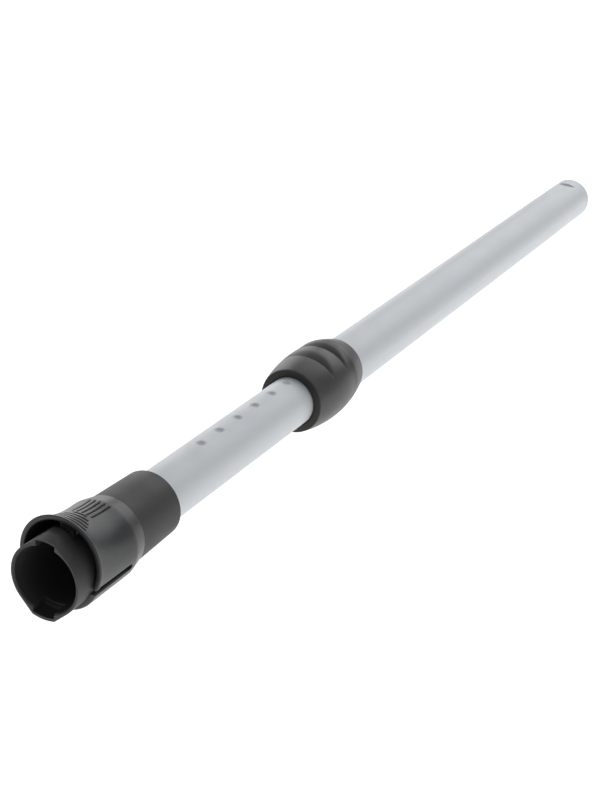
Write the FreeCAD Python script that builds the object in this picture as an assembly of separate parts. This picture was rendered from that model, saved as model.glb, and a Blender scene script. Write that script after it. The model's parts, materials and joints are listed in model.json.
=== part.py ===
"""Telescopic vacuum-cleaner wand: two painted steel tubes, a sliding lock and a handle socket.

The wand lies along +X, from the socket's mouth (the origin) to the spigot for the floor tool.
The thumb tongue, the locking dimples and the spigot's latch pocket are on top, at +Z.
It is drawn with the sliding lock held open: the catch is lifted clear of the dimples.
"""
import FreeCAD, Part
import math
import os

from FreeCAD import Vector

# Driving dimensions, in millimetres and degrees

# Tubes: rolled, welded and painted steel
outer_tube_d = 35.0
tube_wall = 0.8
tube_gap = 0.75             # air between the outer tube's bore and the inner tube
outer_tube_length = 486.8
spigot_sizing = 0.2         # the far end's radius is sized down for the floor tool's socket
spigot_length = 62.0
spigot_chamfer = 0.4

# Latch pocket stamped into the top of the spigot, a ramp between a low step and a wall
pocket_wall_to_end = 15.3
pocket_length = 42.0
pocket_start_depth = 0.5
pocket_depth = 1.7

# Locking dimples stamped into the top of the inner tube
dimple_first_x = 149.5
dimple_pitch = 20.9
dimple_count = 18
dimple_depth = 1.45
dimple_top_r = 3.0
dimple_floor_r = 1.9
dimple_sides = 8            # the round pits are drawn with flats
catch_dimple = 7            # the dimple under the catch as drawn, counted from 0

# Groove rolled into the underside of the inner tube, against turning
groove_depth = 1.2
groove_r = 2.0
groove_play = 0.25
groove_margin = 6.0         # groove past the key's furthest reach
key_margin = 2.5            # key short of the seal and of the outer tube

# Handle socket and collar, one moulding
socket_play = 0.7           # the bore takes a handle whose nose is as thick as the wand's own spigot
socket_depth = 47.0
socket_wall = 2.45
socket_lead_in = 1.4
socket_shoulder = 2.0       # stop for the inner tube behind the bore
collar_step = 0.4           # collar over the barrel
collar_taper = 1.15
collar_end_x = 98.2
collar_edge_r = 0.7
seat_play = 0.05            # glued and snapped seats

# Keyways in the socket's mouth, each under its own boss
top_key_width = 11.5
top_key_depth = 4.1         # from the bore to the keyway's ceiling
top_roof = 0.9              # over the ceiling at the mouth
top_boss_rise = 1.2         # the boss climbs from the mouth to its back
top_boss_ramp = 6.0
top_boss_spread = 41.0      # where the boss's flanks leave the barrel, from the top
top_boss_length = 12.6
bottom_key_width = 13.0
bottom_key_depth = 3.3
bottom_roof = 1.6
bottom_boss_spread = 44.0
bottom_boss_length = 10.5

# Window behind the top keyway, where the handle's nose latches
window_start_x = 14.5
window_length = 14.0

# Release sleeve: a rear ring, a lower half shell and the thumb tongue
sleeve_gap = 0.85           # air between the barrel and the shell
sleeve_wall = 1.9
sleeve_start_x = 13.0
sleeve_nose = 1.6           # chamfer on the half shell's front edge
sleeve_lip = 3.0            # turned-in front edge of the half shell
sleeve_bevel_x = 49.0
sleeve_end_x = 59.5
sleeve_end_wall = 0.65
slit_angle = 102.6          # upper edge of the slits, from the top
slit_width = 3.2
slit_end_x = 45.0
flex_x = 46.5               # line where the tongue bends
flex_gap = 0.2

# Thumb tongue
tongue_flare_x = 45.0       # the tongue leaves the barrel's line here
tongue_rise = 6.8           # the lip's height over the barrel's line
tongue_lip_wall = 2.5
tongue_pinch = 0.5          # how far the lip's corners draw in
tongue_sections = 5
bead_width = 1.7
bead_height = 0.5
cross_groove_count = 6
cross_groove_first_x = 17.6
cross_groove_pitch = 2.1
long_groove_count = 5
long_groove_start_x = 31.0
long_groove_length = 15.0
long_groove_pitch = 2.7
groove_cut_width = 0.9
groove_cut_depth = 0.6
arch_half_width = 11.4      # the cross grooves end on a half ellipse
arch_length = 13.0
pusher_start_x = 17.0
pusher_length = 8.0
pusher_width = 7.0
pusher_foot = 3.2           # its foot over the socket's bore

# Sliding sleeve of the lock
slide_front_to_catch = 35.3
slide_length = 64.0
slide_play = 0.2            # on the guide bush
slide_front_wall = 1.62     # where the egg's line starts, a trim ahead of the front
slide_belly_wall = 5.55
slide_rear_wall = 2.2
slide_rear_play = 0.25      # on the outer tube
slide_edge = 1.0
slide_tilt = 1.1            # the egg's own axis climbs to the rear, over the catch
slide_trim = 1.0            # drawn past both ends, then cut square
belly_bands = 6
slide_travel = 6.0
slide_flange = 5.8

# Two thumb scoops on the sliding sleeve, by their front edges' distance from its front
scoop_starts = (18.5, 36.5)
scoop_lengths = (12.5, 11.0)
scoop_floor_share = 0.42    # where the floor lies along a scoop
scoop_depth = 2.6
scoop_half_angle = 58.0

# Brow behind the rear scoop, turned about a raised line so that it runs out at both sides
brow_rise = 1.0
brow_drop = 0.1             # below the belly's largest radius
brow_bend = 7.0             # from its crest to where it falls off
brow_bend_drop = 1.6
brow_length = 14.0
brow_end_drop = 3.9

# Front ring of the sliding sleeve
ring_gap = 0.75             # air around the inner tube
ring_flange = 1.0
ring_plug = 3.0

# Guide bush fixed on the outer tube's near end
bush_wall = 1.2             # of the skirt over the outer tube
bush_play = 0.2             # on the inner tube
bush_skirt = 8.0
bush_stop_gap = 0.2
catch_to_tube = 9.7         # from the catch to the outer tube's near end
flat_wall = 0.8             # bush wall left under the catch
pip_width = 4.8             # snap pips in the outer tube's side holes
pip_play = 0.1
pip_to_end = 4.0

# Tube seal in the bush
seal_width = 2.6
seal_height = 1.5
seal_play = 0.05
seal_to_front = 2.5
seal_slack = 0.1

# Catch, lifted by two trunnions in the sliding sleeve's sloping slots
nose_r = 2.8
nose_tip_r = 1.7
nose_lift_gap = 0.25        # nose above the inner tube when released
nose_play = 0.25            # nose above the dimple's floor when locked
window_play = 0.15
head_length = 7.2
head_width = 9.2
head_height = 2.1
head_gap = 0.15             # head above the bush's flat when locked
trunnion_width = 1.5
trunnion_reach = 2.6
trunnion_drop = 1.1         # trunnions below the head's top
slot_play = 0.1
cheek_gap = 0.3
cheek_wall = 3.3
cheek_end = 1.0
cheek_foot_gap = 0.15
pocket_play = 0.3

# Return spring
wire_d = 1.0
wire_sides = 5              # the round wire is drawn with flats
spring_gap = 0.3            # wire over the outer tube
spring_turns = 2.0
spring_end_gap = 0.1

# End bush on the inner tube, running in the outer tube
end_bush_length = 15.0
end_bush_play = 0.15
end_stop_gap = 4.0          # travel left past the last dimple

# Derived sizes and places

outer_tube_r = outer_tube_d / 2
spigot_r = outer_tube_r - spigot_sizing
outer_bore_r = outer_tube_r - tube_wall
inner_tube_r = outer_bore_r - tube_gap
inner_bore_r = inner_tube_r - tube_wall
socket_bore_r = spigot_r + socket_play
socket_r = socket_bore_r + socket_wall
collar_r = socket_r + collar_step
shell_r = socket_r + sleeve_gap
sleeve_r = shell_r + sleeve_wall
sleeve_seat_r = socket_r + seat_play

catch_x = dimple_first_x + catch_dimple * dimple_pitch
travel_out = (dimple_count - 1 - catch_dimple) * dimple_pitch
travel_in = catch_dimple * dimple_pitch

tube_start_x = catch_x + catch_to_tube
wand_end_x = tube_start_x + outer_tube_length
slide_x = catch_x - slide_front_to_catch
slide_end_x = slide_x + slide_length
ring_end_x = slide_x + ring_flange + ring_plug
bush_x = ring_end_x + slide_travel + bush_stop_gap
bush_end_x = tube_start_x + bush_skirt
bush_bore_r = inner_tube_r + bush_play
bush_skirt_r = outer_tube_r + seat_play
bush_r = bush_skirt_r + bush_wall
slide_bore_r = bush_r + slide_play
slide_front_r = slide_bore_r + slide_front_wall
belly_r = slide_bore_r + slide_belly_wall
slide_rear_bore_r = outer_tube_r + slide_rear_play
slide_rear_r = slide_rear_bore_r + slide_rear_wall
spring_r = outer_tube_r + spring_gap + wire_d / 2
inner_start_x = socket_depth + socket_shoulder
end_bush_x = tube_start_x + travel_out + end_stop_gap
inner_end_x = end_bush_x + end_bush_length

dimple_taper = math.atan2(dimple_top_r - dimple_floor_r, dimple_depth)
groove_z = -(inner_tube_r - groove_depth + groove_r)
key_start_x = bush_x + seal_to_front + seal_width + key_margin
key_end_x = tube_start_x - key_margin

nose_tip_z = inner_tube_r + nose_lift_gap
catch_lift = nose_tip_z - (inner_tube_r - dimple_depth + nose_play)
lift_ratio = catch_lift / slide_travel
flat_z = bush_bore_r + flat_wall
head_z = flat_z + head_gap + catch_lift
head_top_z = head_z + head_height
trunnion_z = head_top_z - trunnion_drop

slit_z = sleeve_r * math.cos(math.radians(slit_angle))
tongue_crown = sleeve_r + tongue_rise


def place(x, y=0.0, z=0.0):
    """A point of the wand's frame."""
    return Vector(x, y, z)


def rod(x0, x1, r, y=0.0, z=0.0):
    """A round bar along X."""
    return Part.makeCylinder(r, x1 - x0, place(x0, y, z), Vector(1, 0, 0))


def crossbar(x, z, r, half_length):
    """A round bar along Y, centred on the wand's middle plane."""
    return Part.makeCylinder(r, 2 * half_length, place(x, -half_length, z), Vector(0, 1, 0))


def ring(x0, x1, r_in, r_out):
    """A plain ring around the wand's axis."""
    return rod(x0, x1, r_out).cut(rod(x0, x1, r_in))


def box(x0, x1, y0, y1, z0, z1):
    """A block between two corners."""
    return Part.makeBox(x1 - x0, y1 - y0, z1 - z0, place(x0, y0, z0))


def turned(edges, axis_z=0.0):
    """A solid turned about a line along X from a closed outline in the XZ plane."""
    face = Part.Face(Part.Wire(edges))
    return face.revolve(place(0, 0, axis_z), Vector(1, 0, 0), 360)


def lines(points, closed=True):
    """Straight edges through (x, radius) points, as a rule closed back to the first."""
    corners = [place(x, 0, r) for x, r in points]
    return Part.makePolygon(corners + corners[:1] if closed else corners).Edges


def prism(points, x0, x1):
    """A bar along X from a closed outline of (y, z) points."""
    corners = [place(x0, y, z) for y, z in points]
    face = Part.Face(Part.makePolygon(corners + corners[:1]))
    return face.extrude(Vector(x1 - x0, 0, 0))


def dimple_places():
    """The X of every locking dimple."""
    return [dimple_first_x + number * dimple_pitch for number in range(dimple_count)]


def octagon(x, r, z):
    """Level outline about a vertical line through x."""
    corners = []
    for number in range(dimple_sides):
        turn = 2 * math.pi * (number + 0.5) / dimple_sides
        corners.append(place(x + r * math.cos(turn), r * math.sin(turn), z))
    return Part.makePolygon(corners + corners[:1])


def frustum(x, low_r, low_z, high_r, high_z):
    """Tapered plug about a vertical line through x."""
    return Part.makeLoft([octagon(x, low_r, low_z), octagon(x, high_r, high_z)], True, True)


def dimples(wall):
    """The pits of the dimples or, with a wall's thickness, their backs inside the tube."""
    floor_r = dimple_floor_r + wall * (1 / math.cos(dimple_taper) - math.tan(dimple_taper))
    floor_z = inner_tube_r - dimple_depth - wall
    rise = 2 * dimple_depth
    top_r = floor_r + rise * math.tan(dimple_taper)
    return [frustum(x, floor_r, floor_z, top_r, floor_z + rise) for x in dimple_places()]


def pip_bar(play, reach):
    """Square bar through both sides of the outer tube, for the snap pips and their holes."""
    x = bush_end_x - pip_to_end
    half = pip_width / 2 + play
    return box(x - half, x + half, -reach, reach, -half, half)


def outer_tube():
    """Tube of the tool end: sized spigot with its stamped latch pocket, and two holes for the bush."""
    step_x = wand_end_x - spigot_length
    skin = turned(lines([
        (tube_start_x, 0), (tube_start_x, outer_tube_r), (step_x - spigot_chamfer, outer_tube_r),
        (step_x, spigot_r), (wand_end_x - spigot_chamfer, spigot_r),
        (wand_end_x, spigot_r - spigot_chamfer), (wand_end_x, 0)]))
    bore = rod(tube_start_x, step_x, outer_bore_r).fuse(rod(step_x, wand_end_x, spigot_r - tube_wall))
    pressed_skin = skin.cut(latch_ramp(0.0))
    pressed_bore = bore.cut(latch_ramp(tube_wall))
    tube = pressed_skin.cut(pressed_bore)
    return tube.cut(pip_bar(pip_play, outer_tube_r))


def latch_ramp(inset):
    """The latch pocket's space: a ramp from a low step down to a wall, set in all round."""
    wall_x = wand_end_x - pocket_wall_to_end + inset
    start_x = wand_end_x - pocket_wall_to_end - pocket_length - inset
    slope = (pocket_depth - pocket_start_depth) / pocket_length
    start_z = spigot_r - pocket_start_depth + slope * inset - inset
    wall_z = spigot_r - pocket_depth - slope * inset - inset
    outline = [place(start_x, 0, start_z), place(wall_x, 0, wall_z),
               place(wall_x, 0, outer_tube_d), place(start_x, 0, outer_tube_d)]
    face = Part.Face(Part.makePolygon(outline + outline[:1]))
    face.translate(Vector(0, -outer_tube_r, 0))
    return face.extrude(Vector(0, outer_tube_d, 0))


def inner_tube():
    """Tube of the handle end, with its row of dimples on top and the guide groove below."""
    groove_start = key_start_x - travel_in - groove_margin
    groove_end = end_bush_x - seat_play
    groove = rod(groove_start, groove_end, groove_r, 0, groove_z)
    groove_back = rod(groove_start - tube_wall, groove_end + tube_wall, groove_r + tube_wall, 0, groove_z)
    skin = rod(inner_start_x, inner_end_x, inner_tube_r).cut([groove] + dimples(0.0))
    bore = rod(inner_start_x, inner_end_x, inner_bore_r).cut([groove_back] + dimples(tube_wall))
    return skin.cut(bore)


def end_bush():
    """Plastic sleeve snapped over the inner tube's end; it meets the guide bush at full length."""
    return ring(end_bush_x, inner_end_x, inner_tube_r + seat_play, outer_bore_r - end_bush_play)


def key_boss(spread, back_line):
    """Boss over a keyway: flanks that leave the barrel along its tangents, under a back of (x, r) points."""
    length = back_line[-1][0]
    foot_y = socket_r * math.sin(math.radians(spread))
    foot_z = socket_r * math.cos(math.radians(spread))
    ridge_z = socket_r / math.cos(math.radians(spread))
    flanks = prism([(-foot_y, foot_z), (0, ridge_z), (foot_y, foot_z), (0, 0)], 0, length)
    return flanks.common(turned(lines([(0, 0)] + back_line + [(length, 0)])))


def keyway(width, ceiling_r, length):
    """Keyway on top of the bore, with a round ceiling."""
    return box(0, length, -width / 2, width / 2, 0, ceiling_r).common(rod(0, length, ceiling_r))


def below(shape):
    """The same shape turned to the underside."""
    shape.rotate(place(0), Vector(1, 0, 0), 180)
    return shape


def socket_body():
    """Handle socket and collar in one moulding: keyed mouth, latch window and the inner tube's seat."""
    tube_seat_r = inner_tube_r + seat_play
    collar_rear_r = collar_r - collar_taper
    body = turned(lines([
        (0, 0), (0, socket_r), (sleeve_end_x, socket_r), (sleeve_end_x, collar_r),
        (collar_end_x - collar_edge_r, collar_rear_r), (collar_end_x, collar_rear_r - collar_edge_r),
        (collar_end_x, 0)]))
    top_ceiling_r = socket_bore_r + top_key_depth
    bottom_ceiling_r = socket_bore_r + bottom_key_depth
    top_r = top_ceiling_r + top_roof
    top_back_r = top_r + top_boss_rise
    bottom_r = bottom_ceiling_r + bottom_roof
    top_boss = key_boss(top_boss_spread, [(0, top_r), (top_boss_ramp, top_back_r), (top_boss_length, top_back_r)])
    bottom_boss = key_boss(bottom_boss_spread, [(0, bottom_r), (bottom_boss_length, bottom_r)])
    body = body.fuse([top_boss, below(bottom_boss)])
    hollow = turned(lines([
        (0, 0), (0, socket_bore_r + socket_lead_in), (socket_lead_in, socket_bore_r),
        (socket_depth, socket_bore_r), (socket_depth, inner_bore_r), (inner_start_x, inner_bore_r),
        (inner_start_x, tube_seat_r), (collar_end_x, tube_seat_r), (collar_end_x, 0)]))
    top_key = keyway(top_key_width, top_ceiling_r, top_boss_length)
    bottom_key = below(keyway(bottom_key_width, bottom_ceiling_r, bottom_boss_length))
    top_half = top_key_width / 2
    window = box(window_start_x, window_start_x + window_length, -top_half, top_half, 0, 2 * socket_r)
    return body.cut([hollow, top_key, bottom_key, window]).removeSplitter()


def release_sleeve():
    """Rear ring and lower half shell of the release sleeve, open above the slits for the tongue."""
    seat_r = sleeve_seat_r
    lip_x = sleeve_start_x + sleeve_lip
    reach = 2 * sleeve_r
    shell = turned(lines([
        (sleeve_start_x, seat_r), (sleeve_start_x, sleeve_r - sleeve_nose),
        (sleeve_start_x + sleeve_nose, sleeve_r), (sleeve_bevel_x, sleeve_r),
        (sleeve_end_x, seat_r + sleeve_end_wall), (sleeve_end_x, seat_r), (flex_x, seat_r),
        (slit_end_x, shell_r), (lip_x, shell_r), (lip_x, seat_r)]))
    slit_low_z = slit_z - slit_width
    above_slit = box(sleeve_start_x, slit_end_x, -reach, reach, slit_low_z, reach)
    above_edge = box(sleeve_start_x, flex_x, -reach, reach, slit_z - flex_gap, reach)
    slit_end = crossbar(slit_end_x, slit_z - slit_width / 2, slit_width / 2, reach)
    return shell.cut([above_slit, above_edge, slit_end])


def flare(x):
    """How far the tongue has left the barrel's line at x: 0 at the flare's start, 1 at the lip."""
    reach = tongue_flare_x - sleeve_start_x
    return max(0.0, (tongue_flare_x - x) / reach) ** 2


def tongue_crown_z(x):
    """Height of the tongue's outer crown line."""
    return sleeve_r + tongue_rise * flare(x)


def tongue_arc(x, crown_z, edge_r):
    """An arc across the tongue at x, through both slit edges and the crown."""
    edge_y = math.sqrt(edge_r ** 2 - slit_z ** 2) - tongue_pinch * flare(x)
    return Part.Arc(place(x, -edge_y, slit_z), place(x, 0, crown_z), place(x, edge_y, slit_z)).toShape()


def tongue_section(x, rise=0.0):
    """Closed outline of the tongue's wall at x, its outer side raised for the lip's bead."""
    wall = sleeve_wall + (tongue_lip_wall - sleeve_wall) * flare(x)
    crown_z = tongue_crown_z(x)
    outside = tongue_arc(x, crown_z + rise, sleeve_r + rise)
    inside = tongue_arc(x, crown_z - wall, shell_r)
    left = Part.makeLine(outside.Vertexes[0].Point, inside.Vertexes[0].Point)
    right = Part.makeLine(outside.Vertexes[-1].Point, inside.Vertexes[-1].Point)
    return Part.Wire(Part.__sortEdges__([outside, right, inside, left]))


def tongue_core(depth):
    """Solid under the tongue's outer face, its side lying at one depth below that face."""
    wires = []
    for x in tongue_stations():
        arc = tongue_arc(x, tongue_crown_z(x) - depth, sleeve_r - depth)
        chord = Part.makeLine(arc.Vertexes[0].Point, arc.Vertexes[-1].Point)
        wires.append(Part.Wire([arc, chord]))
    return Part.makeLoft(wires, True, False)


def tongue_stations():
    """X of the sections that the tongue is lofted through."""
    end_x = flex_x - flex_gap
    step = (tongue_flare_x - sleeve_start_x) / (tongue_sections - 1)
    return [sleeve_start_x + number * step for number in range(tongue_sections)] + [end_x]


def thumb_grooves():
    """Cross grooves under an arch behind the lip, then lengthwise grooves behind the arch."""
    cuts = []
    half_cut = groove_cut_width / 2
    cut_top = 2 * sleeve_r
    for number in range(cross_groove_count):
        x = cross_groove_first_x + number * cross_groove_pitch
        along = min(1.0, (x - cross_groove_first_x) / arch_length)
        half = max(half_cut, arch_half_width * math.sqrt(1 - along ** 2))
        cuts.append(box(x - half_cut, x + half_cut, -half, half, 0, cut_top))
    long_groove_end_x = long_groove_start_x + long_groove_length
    for number in range(long_groove_count):
        y = (number - (long_groove_count - 1) / 2) * long_groove_pitch
        cuts.append(box(long_groove_start_x, long_groove_end_x, y - half_cut, y + half_cut, 0, cut_top))
    core = tongue_core(groove_cut_depth)
    return [cut.cut(core) for cut in cuts]


def release_tongue():
    """Flared thumb tongue: lip bead, grip grooves, and the pusher that works through the latch window."""
    wall = Part.makeLoft([tongue_section(x) for x in tongue_stations()], True, False)
    bead = Part.makeLoft([tongue_section(sleeve_start_x, bead_height),
                          tongue_section(sleeve_start_x + bead_width, bead_height)], True, True)
    pusher = box(pusher_start_x, pusher_start_x + pusher_length, -pusher_width / 2, pusher_width / 2,
                 socket_bore_r + pusher_foot, tongue_crown)
    pusher = pusher.common(tongue_core(sleeve_wall / 2))
    tongue = wall.fuse(bead).fuse(pusher)
    for groove in thumb_grooves():
        tongue = tongue.cut(groove)
    return tongue


def slide_blank():
    """Outer form of the sliding sleeve and its front ring: a belly turned in bands and a brow, tilted."""
    start_x = slide_x - slide_trim
    front = place(start_x, 0, slide_front_r)
    middle = place(slide_x + slide_length / 2, 0, belly_r)
    rear = place(slide_end_x - slide_edge, 0, slide_rear_r)
    arc = Part.Arc(front, middle, rear).toShape()
    belly = [(point.x, point.z) for point in arc.discretize(belly_bands + 1)]
    end_x = slide_end_x + slide_trim
    edge_r = slide_rear_r - slide_edge
    blank = turned(lines([(start_x, 0)] + belly + [(slide_end_x, edge_r), (end_x, edge_r), (end_x, 0)]))
    scoops = [scoop(start, length) for start, length in zip(scoop_starts, scoop_lengths)]
    form = blank.fuse(brow()).cut(scoops)
    form.rotate(place(slide_x), Vector(0, 1, 0), -slide_tilt)
    return form.common(rod(slide_x, slide_end_x, 2 * belly_r))


def brow():
    """Raised brow behind the rear scoop."""
    crest_x = slide_x + scoop_starts[-1] + scoop_lengths[-1]
    crest_r = belly_r - brow_drop
    start_x = slide_x + scoop_starts[-1]
    end_x = crest_x + brow_length
    return turned(lines([
        (start_x, brow_rise), (start_x, crest_r), (crest_x, crest_r),
        (crest_x + brow_bend, belly_r - brow_bend_drop), (end_x, belly_r - brow_end_drop),
        (end_x, brow_rise)]), brow_rise)


def scoop(start, length):
    """Crescent thumb scoop: a wedge turned about a line below the axis, to run out at both ends."""
    floor_r = belly_r - scoop_depth
    edge_z = belly_r * math.cos(math.radians(scoop_half_angle))
    drop = (belly_r ** 2 - floor_r ** 2) / (2 * (floor_r - edge_z))
    floor_x = slide_x + start + length * scoop_floor_share
    front_run = length * scoop_floor_share
    rear_run = length * (1 - scoop_floor_share)
    top_r = floor_r + 2 * scoop_depth
    wedge = lines([(floor_x, floor_r), (floor_x + 2 * rear_run, top_r), (floor_x - 2 * front_run, top_r)])
    return turned(wedge, -drop)


def slide_sleeve():
    """Egg-shaped sliding sleeve: thumb scoops outside, two cheeks inside whose slots lift the catch."""
    front_slab = rod(slide_x, slide_x + ring_flange, 2 * belly_r)
    bore = rod(slide_x, slide_end_x - slide_flange, slide_bore_r)
    rear_bore = rod(slide_x, slide_end_x, slide_rear_bore_r)
    sleeve = slide_blank().cut([front_slab, bore, rear_bore])
    return sleeve.fuse(cheeks()).cut(catch_space())


def cheeks():
    """Two blocks beside the catch that hold its lifting slots."""
    inner_y = head_width / 2 + cheek_gap
    x0 = catch_x - slide_travel - trunnion_width
    x1 = catch_x + trunnion_width / 2 + slot_play + cheek_end
    foot_z = flat_z + cheek_foot_gap
    barrel = rod(x0, x1, (slide_bore_r + belly_r) / 2)
    left = box(x0, x1, inner_y, inner_y + cheek_wall, foot_z, belly_r)
    right = box(x0, x1, -inner_y - cheek_wall, -inner_y, foot_z, belly_r)
    return [left.common(barrel), right.common(barrel)]


def catch_space():
    """Room inside the sliding sleeve for the catch's head and, in the cheeks, for its trunnions."""
    head_half = head_length / 2 + pocket_play
    side = head_width / 2 + cheek_gap
    room_top = head_top_z + pocket_play
    room = box(catch_x - slide_travel - head_half, catch_x + head_half, -side, side, 0, room_top)
    reach = head_width / 2 + trunnion_reach + cheek_gap
    return [room, trunnion_bar(slot_play, reach, slide_travel + 2 * trunnion_width)]


def trunnion_bar(play, reach, run):
    """Square bar across the catch, tilted to the lifting slots' slope and drawn out along it by a run."""
    half = trunnion_width / 2 + play
    slope = math.atan(lift_ratio)
    length = 2 * half + run / math.cos(slope)
    bar = Part.makeBox(length, 2 * reach, 2 * half, place(half - length, -reach, -half))
    bar.rotate(place(0), Vector(0, 1, 0), -math.degrees(slope))
    bar.translate(place(catch_x, 0, trunnion_z))
    return bar


def slide_front_ring():
    """Dark ring that closes the sliding sleeve's mouth, with a plug that is pressed into it."""
    flange_end_x = slide_x + ring_flange
    flange = slide_blank().common(rod(slide_x, flange_end_x, 2 * belly_r))
    plug = rod(flange_end_x, ring_end_x, slide_bore_r - seat_play)
    return flange.fuse(plug).cut(rod(slide_x, ring_end_x, inner_tube_r + ring_gap))


def guide_bush():
    """Bush on the outer tube's near end: guides the inner tube, holds the seal, the key and the catch."""
    skirt_r = bush_skirt_r
    seal_x = bush_x + seal_to_front
    seal_room_x = seal_x + seal_width + 2 * seal_slack
    seal_room_r = inner_tube_r + seal_play + seal_height + seal_slack
    bush = turned(lines([
        (bush_x, bush_bore_r), (bush_x, bush_r), (bush_end_x, bush_r), (bush_end_x, skirt_r),
        (tube_start_x, skirt_r), (tube_start_x, bush_bore_r), (seal_room_x, bush_bore_r),
        (seal_room_x, seal_room_r), (seal_x, seal_room_r), (seal_x, bush_bore_r)]))
    flat_x = catch_x - slide_travel - trunnion_width - head_length / 2
    flat = box(flat_x, tube_start_x - seat_play, -bush_r, bush_r, flat_z, 2 * bush_r)
    window = frustum(catch_x, nose_r + window_play, 0, nose_r + window_play, bush_r)
    key = rod(key_start_x, key_end_x, groove_r - groove_play, 0, groove_z)
    pip_band = ring(tube_start_x, bush_end_x, outer_bore_r + seat_play, (skirt_r + bush_r) / 2)
    pips = pip_bar(0.0, bush_r).common(pip_band)
    return bush.fuse([key, pips]).cut([flat, window]).removeSplitter()


def tube_seal():
    """Soft ring in the bush that wipes the inner tube."""
    x = bush_x + seal_to_front + seal_slack
    r = inner_tube_r + seal_play
    return ring(x, x + seal_width, r, r + seal_height)


def lock_catch():
    """Catch: a tapered nose for the dimples, a flat head and two trunnions, in one moulding."""
    half_x = head_length / 2
    half_y = head_width / 2
    head = box(catch_x - half_x, catch_x + half_x, -half_y, half_y, head_z, head_top_z)
    taper_z = nose_tip_z + dimple_depth
    tip = frustum(catch_x, nose_tip_r, nose_tip_z, nose_r, taper_z)
    shank = frustum(catch_x, nose_r, taper_z, nose_r, head_z)
    trunnions = trunnion_bar(0.0, half_y + trunnion_reach, 0.0)
    return head.fuse([shank, tip, trunnions]).removeSplitter()


def return_spring():
    """Coil between the guide bush and the sliding sleeve's rear flange, which pushes the lock shut."""
    start_x = bush_end_x + spring_end_gap + wire_d / 2
    end_x = slide_end_x - slide_flange - spring_end_gap - wire_d / 2
    length = end_x - start_x
    helix = Part.makeHelix(length / spring_turns, length, spring_r)
    corners = []
    for number in range(wire_sides):
        turn = 2 * math.pi * number / wire_sides
        corners.append(Vector(spring_r + wire_d / 2 * math.cos(turn), 0, wire_d / 2 * math.sin(turn)))
    section = Part.makePolygon(corners + corners[:1])
    coil = Part.Wire(helix.Edges).makePipeShell([section], True, True)
    coil.rotate(place(0), Vector(0, 1, 0), 90)
    coil.translate(place(start_x))
    return coil


pieces = {
    "outer_tube": outer_tube,
    "inner_tube": inner_tube,
    "end_bush": end_bush,
    "socket_body": socket_body,
    "release_sleeve": release_sleeve,
    "release_tongue": release_tongue,
    "slide_sleeve": slide_sleeve,
    "slide_front_ring": slide_front_ring,
    "guide_bush": guide_bush,
    "tube_seal": tube_seal,
    "lock_catch": lock_catch,
    "return_spring": return_spring,
}

os.makedirs("parts", exist_ok=True)
for name, make in pieces.items():
    shape = make()
    shape.exportStep("parts/" + name + ".step")
    print(name, "solids", len(shape.Solids), "valid", shape.isValid(), "volume", round(shape.Volume, 1))
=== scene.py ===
"""Looks of a telescopic vacuum wand: smooth pieces and finishes built round its CAD frame.

Lengths inside the mesh code are in millimetres, as on the wand's drawing, and turn to metres when a mesh is made.
Angles run round the wand's axis from its top line, positive towards +Y.
"""
import json
import math
from functools import partial

import bmesh
import bpy
import numpy as np
from mathutils import Matrix, Vector


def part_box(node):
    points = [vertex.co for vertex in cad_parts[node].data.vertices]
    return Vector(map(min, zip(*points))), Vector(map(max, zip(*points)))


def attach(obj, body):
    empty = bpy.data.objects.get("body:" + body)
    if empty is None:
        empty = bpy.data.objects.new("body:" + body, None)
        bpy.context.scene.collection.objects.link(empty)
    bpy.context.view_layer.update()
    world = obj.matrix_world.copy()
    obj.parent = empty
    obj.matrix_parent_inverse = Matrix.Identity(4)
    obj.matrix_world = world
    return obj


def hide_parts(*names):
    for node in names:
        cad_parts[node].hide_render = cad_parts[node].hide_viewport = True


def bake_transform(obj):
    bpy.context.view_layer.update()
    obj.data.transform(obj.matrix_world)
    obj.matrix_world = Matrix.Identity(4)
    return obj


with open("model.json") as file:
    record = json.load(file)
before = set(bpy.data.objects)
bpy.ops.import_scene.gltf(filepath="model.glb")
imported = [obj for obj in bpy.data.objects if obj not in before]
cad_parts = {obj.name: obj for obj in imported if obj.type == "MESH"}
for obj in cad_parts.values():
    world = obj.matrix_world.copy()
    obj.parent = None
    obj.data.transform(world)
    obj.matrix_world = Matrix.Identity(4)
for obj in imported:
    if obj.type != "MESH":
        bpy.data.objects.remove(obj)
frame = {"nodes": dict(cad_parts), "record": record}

bl_info = {
    "name": "Telescopic wand",
    "version": (1, 0, 0),
    "blender": (4, 5, 0),
    "location": "View3D > Sidebar > Wand",
    "description": "Builds the visible pieces, finishes and stage of a telescopic vacuum wand",
    "category": "Object",
}

MM = 0.001

# kinds of node that come up often
MATH, VECTOR_MATH, MAP_RANGE = "ShaderNodeMath", "ShaderNodeVectorMath", "ShaderNodeMapRange"

# the camera's place and the directions of its picture's sides, and what the lamps aim at, in metres
CAMERA_PLACE = (-0.5714, -0.4049, 0.4366)
CAMERA_RIGHT, CAMERA_UP = (0.4661, -0.8806, 0.0848), (0.3414, 0.2675, 0.9010)
LAMP_AIM = (0.35, 0.0, 0.0)

# a distance in mm that is past every rounding, the room for error in a comparison, and how near points merge, in metres
FAR, TINY, MERGE = 99.0, 1e-6, 0.002 * MM


def length(name, description, mm):
    """A length property whose default is given in millimetres."""
    return bpy.props.FloatProperty(name=name, description=description, default=mm * MM, precision=5,
                                   subtype="DISTANCE", unit="LENGTH")


def angle(name, description, degrees):
    """An angle property whose default is given in degrees."""
    return bpy.props.FloatProperty(name=name, description=description, default=math.radians(degrees),
                                   subtype="ANGLE", unit="ROTATION")


def count(name, description, number):
    """A whole-number property."""
    return bpy.props.IntProperty(name=name, description=description, default=number, min=1)


def strength(name, description, value):
    """A light's strength."""
    return bpy.props.FloatProperty(name=name, description=description, default=value, min=0.0)


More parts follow.
